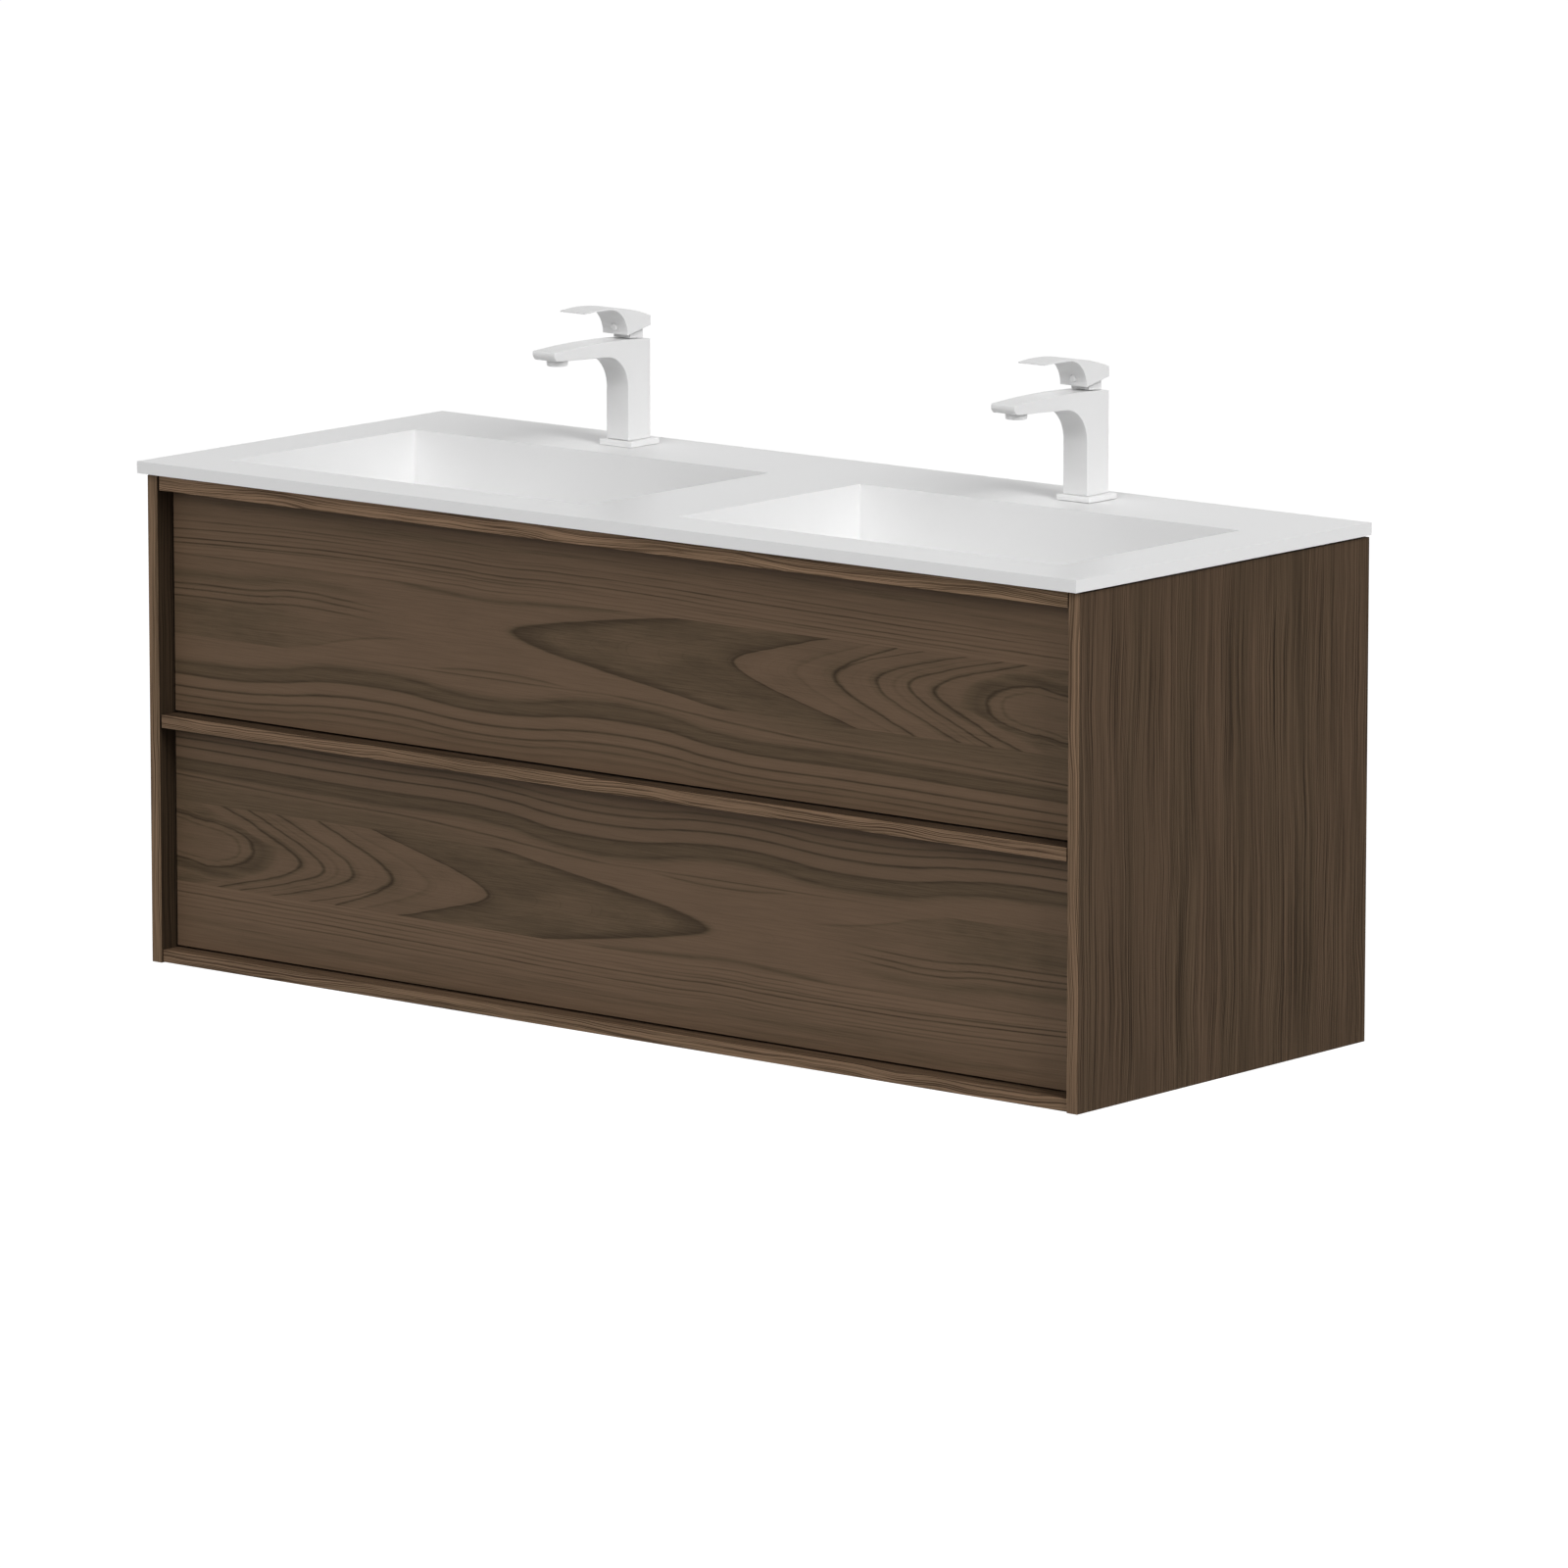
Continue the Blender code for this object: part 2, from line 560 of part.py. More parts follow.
def main():
    for old in list(bpy.data.objects):
        bpy.data.objects.remove(old)
    carcass()
    hangers()
    basin_top()
    bedding_strips()
    for name, x in (("left", -BASIN_X), ("right", BASIN_X)):
        waste(name, x)
        trap(name, x)
        tap(name, x)
    upper_drawer()
    lower_drawer()
    runners("upper", UPPER_RUNNER_LEVEL, (0.0, PANEL_FRONT, UPPER_PANEL[0]))
    runners("lower", LOWER_RUNNER_LEVEL, (0.0, PANEL_FRONT, LOWER_PANEL[0]))


main()
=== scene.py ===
"""Wall-hung double vanity cabinet, dressed for the studio.

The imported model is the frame. Every CAD node keeps its place; modifiers round its edges and node
materials give it walnut veneer, cast white stone, coated metal, steel, plastic and silicone. Lengths are
in metres unless a name says mm.
"""
import json
import math

import bmesh
import bpy
from mathutils import Matrix, Vector

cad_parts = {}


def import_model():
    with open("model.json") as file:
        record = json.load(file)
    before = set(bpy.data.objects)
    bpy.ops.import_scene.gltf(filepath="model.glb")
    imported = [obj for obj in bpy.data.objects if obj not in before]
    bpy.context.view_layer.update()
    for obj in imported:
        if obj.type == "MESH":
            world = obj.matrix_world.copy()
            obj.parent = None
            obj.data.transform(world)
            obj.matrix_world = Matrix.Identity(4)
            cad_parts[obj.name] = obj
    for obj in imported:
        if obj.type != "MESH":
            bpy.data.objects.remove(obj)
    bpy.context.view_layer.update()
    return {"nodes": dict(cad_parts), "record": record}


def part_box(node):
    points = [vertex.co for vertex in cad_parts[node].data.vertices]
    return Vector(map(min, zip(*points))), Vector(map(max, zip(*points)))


MM = 0.001

# Veneer is laid out in cabinet millimetres: x from the left side and z from the underside. The origin of
# every piece is this far from them, on the cabinet's centre line.
HALF_WIDTH_MM = 600.0
ORIGIN_HEIGHT_MM = 455.0
BOARD_MM = 13.0


# ---------------------------------------------------------------- shader building

class Net:
    """Short calls that add shader nodes to one tree and link them."""

    def __init__(self, tree):
        self.tree = tree

    def node(self, kind, **settings):
        made = self.tree.nodes.new("ShaderNode" + kind)
        for key, value in settings.items():
            setattr(made, key, value)
        return made

    def put(self, socket, value):
        if isinstance(value, bpy.types.NodeSocket):
            self.tree.links.new(value, socket)
        else:
            socket.default_value = value

    def math(self, operation, *values):
        made = self.node("Math", operation=operation)
        for socket, value in zip(made.inputs, values):
            self.put(socket, value)
        return made.outputs[0]

    def add(self, a, b):
        return self.math("ADD", a, b)

    def take(self, a, b):
        return self.math("SUBTRACT", a, b)

    def times(self, a, b):
        return self.math("MULTIPLY", a, b)

    def gap(self, a, b):
        """How far apart a and b are."""
        return self.math("ABSOLUTE", self.take(a, b))

    def fit(self, value, from_low, from_high, low=0.0, high=1.0):
        """Map value from one range to another, clamped."""
        made = self.node("MapRange")
        for socket, given in zip(made.inputs, (value, from_low, from_high, low, high)):
            self.put(socket, given)
        return made.outputs[0]

    def blend(self, factor, a, b):
        """Float a where factor is 0 and b where it is 1."""
        made = self.node("Mix", data_type="FLOAT")
        for index, given in ((0, factor), (2, a), (3, b)):
            self.put(made.inputs[index], given)
        return made.outputs[0]

    def tint(self, factor, a, b, blend_type="MIX"):
        """Colour a where factor is 0 and b where it is 1."""
        made = self.node("Mix", data_type="RGBA", blend_type=blend_type)
        for index, given in ((0, factor), (6, a), (7, b)):
            self.put(made.inputs[index], given)
        return made.outputs[2]

    def vector(self, x, y, z=0.0):
        made = self.node("CombineXYZ")
        for socket, given in zip(made.inputs, (x, y, z)):
            self.put(socket, given)
        return made.outputs[0]

    def noise(self, place, scale=1.0, detail=2.0, roughness=0.5):
        made = self.node("TexNoise")
        self.put(made.inputs["Vector"], place)
        made.inputs["Scale"].default_value = scale
        made.inputs["Detail"].default_value = detail
        made.inputs["Roughness"].default_value = roughness
        return made.outputs[0]

    def drawn_noise(self, along, across, rates, seed=0.0, **kind):
        """Noise drawn out along one direction; rates are its cells for each unit along and across."""
        place = self.vector(self.times(along, rates[0]), self.times(across, rates[1]), seed)
        return self.noise(place, **kind)

    def wobble(self, along, across, rates, amount, seed=0.0):
        """Drawn-out noise centred on zero, about plus or minus half of amount."""
        return self.times(self.take(self.drawn_noise(along, across, rates, seed), 0.5), amount)

    def ridge(self, value, centre, half):
        """1 on the centre, falling to 0 at half on each side."""
        return self.fit(self.gap(value, centre), 0.0, half, 1.0, 0.0)

    def chance(self, value):
        """One random number for each whole value."""
        made = self.node("TexWhiteNoise", noise_dimensions="1D")
        self.put(made.inputs["W"], value)
        return made.outputs[0]

    def steps(self, value, low, high, stops):
        """Straight lines between (value, level) stops, for a value from low to high."""
        made = self.node("ValToRGB")
        ramp = made.color_ramp
        while len(ramp.elements) > 1:
            ramp.elements.remove(ramp.elements[-1])
        for index, (at, level) in enumerate(stops):
            place = (at - low) / (high - low)
            stop = ramp.elements[0] if index == 0 else ramp.elements.new(place)
            stop.position = place
            stop.color = (level, level, level, 1.0)
        self.put(made.inputs[0], self.fit(value, low, high))
        return made.outputs[0]

    def curve(self, value, low, high, points, bottom, top):
        """Smooth curve through (value, height) points, heights from bottom to top."""
        made = self.node("FloatCurve")
        line = made.mapping.curves[0]
        for index, (at, height) in enumerate(points):
            place = ((at - low) / (high - low), (height - bottom) / (top - bottom))
            if index < 2:
                line.points[index].location = place
            else:
                line.points.new(*place)
        made.mapping.update()
        self.put(made.inputs["Value"], self.fit(value, low, high))
        return self.fit(made.outputs[0], 0.0, 1.0, bottom, top)

    def place(self):
        """Where a point is on its piece, which it stays with when the piece moves."""
        return self.node("TexCoord").outputs["Object"]

    def place_mm(self):
        """That place as x, y, z in cabinet millimetres."""
        made = self.node("SeparateXYZ")
        self.put(made.inputs[0], self.place())
        x, y, z = (self.times(socket, 1.0 / MM) for socket in made.outputs)
        return self.add(x, HALF_WIDTH_MM), y, self.add(z, ORIGIN_HEIGHT_MM)


def linear(red, green, blue):
    """Linear colour of an 8-bit screen colour."""
    parts = []
    for level in (red, green, blue):
        share = level / 255.0
        parts.append(share / 12.92 if share <= 0.04045 else ((share + 0.055) / 1.055) ** 2.4)
    return (*parts, 1.0)


def grey(level):
    return (level, level, level, 1.0)


def start_material(name):
    material = bpy.data.materials.new(name)
    material.use_nodes = True
    net = Net(material.node_tree)
    return material, net, material.node_tree.nodes["Principled BSDF"]


def finish_surface(net, shader, height, distance_mm):
    """Bump from a height of 0 to 1 that stands for distance_mm."""
    bump = net.node("Bump")
    bump.inputs["Strength"].default_value = 1.0
    bump.inputs["Distance"].default_value = distance_mm * MM
    net.put(bump.inputs["Height"], height)
    net.put(shader.inputs["Normal"], bump.outputs[0])


# ---------------------------------------------------------------- walnut

# Darkness of the wood is a level: 0 is the light colour, 0.5 the middle one and 1 the dark one.
WALNUT_LIGHT = linear(118, 95, 75)
WALNUT_MIDDLE = linear(100, 81, 63)
WALNUT_DARK = linear(62, 48, 36)
WALNUT_GREEN = (0.955, 1.0, 0.965, 1.0)     # multiplies the colour of dull greenish wood
WALNUT_ROUGHNESS = (0.52, 0.66)
FRONT_SHEEN = 0.06                          # specular level of the drawer fronts
BOARD_SHEEN = 0.03
GRAIN_DEPTH_MM = 0.06
# Cells of the finest grain for each millimetre, along and across it.
STREAK_RATES = (0.016, 0.62)
PORE_RATES = (0.05, 2.1)
RING_SHARPNESS = 5.0


def fine_grain(net, along, across, depth):
    """Hair-fine streaks and open pores, as two levels about 0 to 1."""
    streaks = net.drawn_noise(along, across, STREAK_RATES, net.times(depth, STREAK_RATES[1]),
                              detail=4.0, roughness=0.6)
    hairs = net.drawn_noise(along, across, PORE_RATES, net.times(depth, PORE_RATES[1]))
    return streaks, net.fit(hairs, 0.60, 0.72)


def walnut_colour(net, dark, green, gain=1.0):
    """Colour for a darkness of 0 to 1, tinted greenish by green and brightened by gain."""
    low = net.tint(net.fit(dark, 0.0, 0.5), WALNUT_LIGHT, WALNUT_MIDDLE)
    whole = net.tint(net.fit(dark, 0.5, 1.0), low, WALNUT_DARK)
    shaded = net.tint(green, whole, WALNUT_GREEN, "MULTIPLY")
    level = net.vector(gain, gain, gain)
    return net.tint(1.0, shaded, level, "MULTIPLY")


def finish_walnut(net, shader, colour, streaks, pores):
    """Colour, roughness and bump of lacquered veneer whose pores stay a little open."""
    net.put(shader.inputs["Base Color"], colour)
    net.put(shader.inputs["Roughness"], net.fit(streaks, 0.2, 0.8, *WALNUT_ROUGHNESS))
    finish_surface(net, shader, net.take(streaks, net.times(pores, 0.6)), GRAIN_DEPTH_MM)


def growth_rings(net, across, pitch, shift, seed):
    """Rings that darken slowly and end sharply, each with its own strength."""
    count = net.add(net.add(net.times(across, 1.0 / pitch), shift), seed)
    rise = net.math("POWER", net.math("FRACT", count), RING_SHARPNESS)
    strength = net.chance(net.math("FLOOR", count))
    return net.times(rise, net.fit(strength, 0.15, 1.0, 0.05, 1.0))


# ---------------------------------------------------------------- walnut: drawer fronts

# Three veneer strips make up a drawer front; these are the two seams of the upper one.
SEAM_HIGH = 423.0
SEAM_LOW = 339.0
# The lower front carries the same figure turned half round about this point.
TURN_X = 596.0
TURN_Z = 253.0
LEFT_END = 0.0
RIGHT_END = 1200.0

# Upper strip. Its lines by height: 1 is the middle of a dark line.
UPPER_LINES = ((422, 0.2), (425.5, 0.0), (427.4, 0.7), (428.6, 0.0), (430.4, 0.1), (431.6, 0.6),
               (432.6, 0.0), (434.4, 0.1), (435.6, 0.8), (436.4, 0.2), (438.2, 1.0), (439.6, 0.0),
               (441.6, 0.1), (442.8, 1.0), (444.2, 0.0), (446.2, 0.1), (447.6, 0.7), (448.8, 0.0),
               (451.0, 0.1), (452.2, 0.9), (453.4, 0.0), (455.4, 0.1), (456.8, 0.7), (458.0, 0.0),
               (460.2, 0.8), (461.4, 0.1), (466.0, 0.4))
# How far the lines run below their height, along the front.
UPPER_PATH = ((0, 6.0), (100, 2.0), (250, -1.0), (400, 0.0), (450, 1.6), (520, 0.0), (600, 0.0), (750, 3.0),
              (900, 6.0), (1200, 9.5))

# Middle strip. Cathedral rings: where each arch has its tip along the strip, and how dark the wood is.
# A colour ramp holds few stops, so the strip has one for each half.
CATHEDRAL_HALF = 800.0
CATHEDRAL_START = ((400, 0.28), (455, 0.28), (466, 0.48), (475, 0.92), (486, 0.84), (530, 0.58),
                   (640, 0.54), (735, 0.66), (751, 0.74), (756, 1.0), (760, 0.40), (775, 0.30),
                   (800, 0.32))
CATHEDRAL_END = ((800, 0.32), (822, 0.34), (832, 0.50), (842, 0.32), (866, 0.40), (877, 0.50), (882, 1.0),
                 (885, 0.60), (889, 0.32), (920, 0.30), (930, 0.54), (934, 0.88), (938, 0.38), (950, 0.34),
                 (956, 0.52), (961, 0.34), (972, 0.42), (977, 0.96), (981, 0.40), (996, 0.34),
                 (1005, 0.60), (1009, 0.98), (1014, 0.40), (1034, 0.34), (1046, 0.52), (1075, 0.60),
                 (1110, 0.46), (1200, 0.32))
TIP_Z = 387.0                # height of the arches' tips
TIP_ROUND = 15.0             # how far above and below its tip an arch bends into its arms
ARM_SLOPE = 2.9              # how far an arm runs along the front for each millimetre of height
UPPER_ARM = 1.1              # the arms above the tips run further by this factor
ARM_BOW = 0.009              # and are bowed, by this times the square of their height
# Arches with their tips left of this are slimmer, by this share for each millimetre.
SLIM_FROM = 882.0
SLIM_SHARE = 0.004

# The eye at the end of the middle strip: its centre, half length and half height, and its rings outwards.
EYE_X = 1135.0
EYE_Z = 380.0
EYE_LONG = 63.0
EYE_HIGH = 23.0
EYE_RINGS = ((0.0, 0.50), (0.50, 0.40), (0.66, 0.38), (0.74, 0.62), (0.80, 0.38), (0.92, 0.46),
             (1.0, 1.0), (1.07, 0.70), (1.25, 0.74), (1.45, 0.60), (1.56, 0.36))

# Left of the cathedral: the heights and half widths of three fine lines, and how they wave.
LEFT_LINES = ((392.6, 1.6), (387.0, 1.4), (379.6, 1.5))
LEFT_WAVE = ((0, -2), (60, 0), (120, 1), (190, 6), (240, 4), (300, 0), (400, -3))
DULL_BAND_Z = 402.5
# Height of the lower edge of the dull patch under them, and of a soft line near the upper seam.
PATCH_EDGE = ((0, 322), (150, 336), (200, 345), (250, 356), (300, 363), (400, 369))
SOFT_LINE = ((300, 424), (380, 418.5), (440, 415.5), (500, 418), (600, 422), (650, 424))
# A flat lens on the lower seam: its middle, half length, top and how far its ends drop.
LENS_X = 450.0
LENS_LONG = 92.0
LENS_TOP = 344.0
LENS_DROP = 5.0

# Lower strip. Its level bands by height: (height, darkness). Below 290 they are partly painted light: made
# lighter to offset the shade that the rails cast on the fronts.
LOWER_BANDS = ((252, 0.28), (258, 0.30), (263, 0.26), (266, 0.52), (268, 0.24), (271, 0.30), (273, 0.66),
               (275, 0.34), (278, 0.28), (280, 0.84), (281.5, 0.28), (284, 0.20), (288.3, 0.30), (290, 0.94),
               (292, 0.32), (296, 0.22), (301.5, 0.32), (303.4, 0.88), (306, 0.66), (313, 0.60), (316, 0.80),
               (318.5, 0.54), (322, 0.34), (326, 0.26), (345, 0.34))
# Height of the lower edge of the main dark band along the front, and the height it has in those bands.
BAND_PATH = ((0, 298), (80, 298), (157, 304), (280, 313), (443, 304), (596, 314), (735, 302), (800, 298),
             (900, 299), (1050, 296), (1200, 293))
BAND_LEVEL = 304.0
# Height of the single line above that band, which the wood above it on the right is darker than.
LINE_PATH = ((500, 340), (600, 337.5), (650, 335), (700, 331), (750, 327), (800, 324), (850, 321),
             (1000, 318), (1200, 311))
SEAM_LENS_X = 430.0          # the lower seam is dark about here


def level_strip(net, x, z):
    """Upper strip: close, almost straight lines of uneven strength."""
    path = net.curve(x, LEFT_END, RIGHT_END, UPPER_PATH, -2.0, 11.0)
    waver = net.wobble(x, z, (0.012, 0.06), 2.2, 2.0)
    height = net.add(net.add(z, path), waver)
    lines = net.steps(height, 420.0, 470.0, UPPER_LINES)
    strength = net.fit(net.drawn_noise(x, height, (0.004, 0.22), 9.0), 0.35, 0.65, 0.20, 0.85)
    # The base darkness is kept low partly as painted light, against the shade under the upper rail.
    base = net.fit(net.drawn_noise(x, height, (0.0016, 0.05), 5.0), 0.35, 0.65, 0.08, 0.22)
    close = growth_rings(net, height, 2.3, net.wobble(x, z, (0.002, 0.06), 1.5), 40.0)
    return net.add(base, net.add(net.times(lines, strength), net.times(close, 0.14)))


def eye(net, x, z, dark):
    """The closed rings at the right end of the middle strip, laid over dark."""
    along = net.times(net.math("MAXIMUM", net.take(EYE_X, x), 0.0), 1.0 / EYE_LONG)
    rise = net.times(net.take(z, EYE_Z), 1.0 / EYE_HIGH)
    sinking = net.fit(x, EYE_X, 1180.0, 0.0, 0.28)
    rise = net.add(rise, sinking)
    radius = net.math("SQRT", net.add(net.times(along, along), net.times(rise, rise)))
    radius = net.add(radius, net.wobble(x, z, (0.03, 0.06), 0.22, 8.0))
    outside = net.math("MAXIMUM", net.take(radius, 1.0), 0.0)
    closer_below = net.times(outside, net.fit(z, 372.0, 362.0, 0.0, 1.6))
    radius = net.add(radius, closer_below)
    rings = net.steps(radius, 0.0, 2.0, EYE_RINGS)
    inside = net.times(net.fit(radius, 1.64, 1.50), net.fit(x, 1015.0, 1060.0))
    return net.blend(inside, dark, rings)


def left_figure(net, x, z, cloud):
    """Darkness added left of the cathedral: three fine lines, a dull patch and a flat lens."""
    wave = net.curve(x, LEFT_END, 400.0, LEFT_WAVE, -5.0, 10.0)
    fading = net.fit(x, 240.0, 325.0, 1.0, 0.0)
    height = net.take(z, net.times(wave, net.fit(z, 370.0, 400.0, 0.5, 1.05)))
    first, *others = LEFT_LINES
    lines = net.ridge(height, *first)
    for line in others:
        lines = net.math("MAXIMUM", lines, net.ridge(height, *line))
    lines = net.add(net.times(lines, 0.52), net.times(net.ridge(height, DULL_BAND_Z, 8.0), 0.28))
    lines = net.times(lines, fading)

    over = net.take(z, net.curve(x, LEFT_END, 400.0, PATCH_EDGE, 300.0, 400.0))
    patch = net.times(net.fit(over, -1.5, 2.0), net.fit(z, 372.0, 384.0, 1.0, 0.25))
    patch = net.times(patch, net.fit(x, 150.0, 345.0, 0.32, 0.0))
    patch = net.times(patch, net.fit(cloud, 0.3, 0.6, 0.6, 1.0))
    rim = net.times(net.ridge(over, 0.0, 2.2), net.fit(net.gap(x, 270.0), 30.0, 85.0, 0.30, 0.0))

    from_lens = net.times(net.take(x, LENS_X), 1.0 / LENS_LONG)
    lens_top = net.take(LENS_TOP, net.times(net.times(from_lens, from_lens), LENS_DROP))
    lens_ends = net.fit(net.math("ABSOLUTE", from_lens), 0.7, 1.05, 0.42, 0.0)
    lens = net.times(net.ridge(z, lens_top, 1.8), lens_ends)
    soft_line = net.ridge(z, net.curve(x, 300.0, 650.0, SOFT_LINE, 410.0, 430.0), 4.0)
    total = net.add(net.add(lines, patch), net.add(rim, lens))
    return net.add(total, net.times(soft_line, 0.36))


def arch_spread(net, offset):
    """How far right of its tip an arch lies, at offset above or below it: a rounded point."""
    slant = net.math("SQRT", net.add(net.times(offset, offset), TIP_ROUND ** 2))
    return net.times(net.take(slant, TIP_ROUND), ARM_SLOPE)


def cathedral_strip(net, x, z, cloud):
    """Pointed arches that open to the right, an eye at their end and fine lines at their start."""
    rise = net.take(z, TIP_Z)
    offset = net.math("MAXIMUM", net.times(rise, UPPER_ARM), net.times(rise, -1.0))
    spread = arch_spread(net, offset)
    run = net.add(x, net.wobble(x, z, (0.02, 0.035), 16.0, 4.0))
    upper = net.math("MAXIMUM", rise, 0.0)
    bow = net.times(net.times(upper, upper), ARM_BOW)
    wide = net.take(run, arch_spread(net, net.add(offset, bow)))
    slim_spread = net.times(spread, 1.0 + SLIM_SHARE * SLIM_FROM)
    slim = net.math("DIVIDE", net.take(run, slim_spread), net.take(1.0, net.times(spread, SLIM_SHARE)))
    tip = net.blend(net.math("GREATER_THAN", wide, SLIM_FROM), slim, wide)
    rings = net.blend(net.math("GREATER_THAN", tip, CATHEDRAL_HALF),
                      net.steps(tip, 400.0, CATHEDRAL_HALF, CATHEDRAL_START),
                      net.steps(tip, CATHEDRAL_HALF, RIGHT_END, CATHEDRAL_END))
    fine = growth_rings(net, tip, 11.0, net.wobble(x, z, (0.01, 0.05), 1.6), 3.0)
    dark = eye(net, x, z, net.add(rings, net.times(fine, 0.12)))
    mottle = net.times(net.fit(cloud, 0.35, 0.62, -0.06, 0.08), net.fit(tip, 480.0, 520.0, 0.3, 1.0))
    left = net.times(left_figure(net, x, z, cloud), net.fit(x, 600.0, 650.0, 1.0, 0.0))
    return net.add(net.add(dark, mottle), left)


def banded_strip(net, x, z):
    """Lower strip: bands that wave together, less and less towards the bottom edge."""
    path = net.curve(x, LEFT_END, RIGHT_END, BAND_PATH, 290.0, 330.0)
    share = net.fit(z, 255.0, 330.0, 0.38, 1.2)
    waver = net.wobble(x, z, (0.01, 0.05), 2.2, 1.0)
    height = net.add(net.take(z, net.times(share, net.take(path, BAND_LEVEL))), waver)
    bands = net.steps(height, 250.0, 350.0, LOWER_BANDS)
    fine = growth_rings(net, height, 3.3, net.wobble(x, z, (0.002, 0.06), 1.5), 11.0)
    over = net.take(z, net.curve(x, 500.0, RIGHT_END, LINE_PATH, 305.0, 345.0))
    shade = net.times(net.fit(x, 690.0, 860.0), net.fit(over, 0.5, 4.0, 0.0, 0.24))
    line = net.times(net.ridge(over, 0.0, 1.8), net.fit(x, 560.0, 620.0, 0.0, 0.5))
    seam = net.times(net.ridge(z, 337.2, 1.2), net.fit(net.gap(x, SEAM_LENS_X), 30.0, 260.0, 0.5, 0.0))
    dark = net.add(bands, net.times(fine, 0.14))
    return net.add(net.add(dark, shade), net.math("MAXIMUM", line, seam))


def front_veneer(name, turned):
    """Cathedral-figured walnut of a drawer front; turned for the lower one."""
    material, net, shader = start_material(name)
    x, y, z = net.place_mm()
    if turned:
        x, z = net.take(2 * TURN_X, x), net.take(2 * TURN_Z, z)
    cloud = net.drawn_noise(x, z, (0.012, 0.04), 3.0, detail=4.0)
    above = net.math("GREATER_THAN", z, SEAM_HIGH)
    below = net.math("LESS_THAN", z, SEAM_LOW)
    dark = net.blend(above, cathedral_strip(net, x, z, cloud), level_strip(net, x, z))
    dark = net.blend(below, dark, banded_strip(net, x, z))
    green = net.fit(dark, 0.40, 0.62)
    streaks, pores = fine_grain(net, x, z, y)
    dark = net.add(dark, net.times(net.take(streaks, 0.5), 0.62))
    dark = net.add(dark, net.times(net.take(cloud, 0.5), 0.08))
    dark = net.add(dark, net.times(pores, 0.16))
    finish_walnut(net, shader, walnut_colour(net, dark, green), streaks, pores)
    shader.inputs["Specular IOR Level"].default_value = FRONT_SHEEN
    return material


# ---------------------------------------------------------------- walnut: boards

# Brightness of a board's front edge, outer face and inner face. Partly painted shade: the inner faces of the
# side panels are darkened to stand for the shade in the recess behind the fronts, and a rail's faces other
# than its front are darkened to stand for the shade on its top. The upper rail's front is brightened as
# painted light, against the slab's shadow on it.
RAIL_GAINS = (1.52, 0.5, 0.5)
UPPER_RAIL_GAINS = (2.02, 0.8, 0.8)
SIDE_GAINS = (1.46, 0.64, 0.28)
BOTTOM_GAINS = (1.46, 0.8, 0.8)
DRAWER_GAINS = (1.3, 1.3, 1.3)
NO_EDGE_MM = -1000.0         # where the front edge of a board is that has no lipping: nowhere
FACE_REACH_MM = 0.3          # a point this close to a face is on it
# Layers of straight grain: cells for each millimetre along and across it, and the darkness each one adds or
# takes away.
GRAIN_LAYERS = ((0.0015, 0.10, 0.12), (0.0025, 0.45, 0.22), (0.004, 1.1, 0.75), (0.006, 1.9, 0.4))
BROAD_RATES = (0.0012, 0.028)
DARK_LINE_RATES = (0.008, 0.85)
PALE_LINE_RATES = (0.0016, 0.70)
UPWARD = 0.7                 # a face whose normal rises more than this looks up


def zone_gain(net, x, y, front_mm, lipping, outer, inner):
    """Brightness of a carcass board: its front edge, and the faces outside and inside the cabinet; the dim
    inner faces and rail faces are painted shade, and the upper rail's bright front is painted light.
    """
    from_centre = net.gap(x, HALF_WIDTH_MM)
    within = net.math("LESS_THAN", from_centre, HALF_WIDTH_MM - BOARD_MM + FACE_REACH_MM)
    front = net.math("LESS_THAN", y, front_mm + FACE_REACH_MM)
    return net.blend(front, net.blend(within, outer, inner), lipping)


def grain_layer(net, along, across, rates, detail=2.0):
    """Noise drawn out along the grain; each fineness has its own seed."""
    return net.drawn_noise(along, across, rates, rates[1] * 50.0, detail=detail)


def plain_top_edge(net, x, y, dark):
    """Even flecks on the top edges of drawer walls, in place of the veneer's dark."""
    facing = net.node("SeparateXYZ")
    net.put(facing.inputs[0], net.node("TexCoord").outputs["Normal"])
    top_edge = net.math("GREATER_THAN", facing.outputs["Z"], UPWARD)
    flecks = net.drawn_noise(x, y, (0.5, 0.5), detail=3.0)
    return net.blend(top_edge, dark, net.fit(flecks, 0.3, 0.7, 0.34, 0.58))


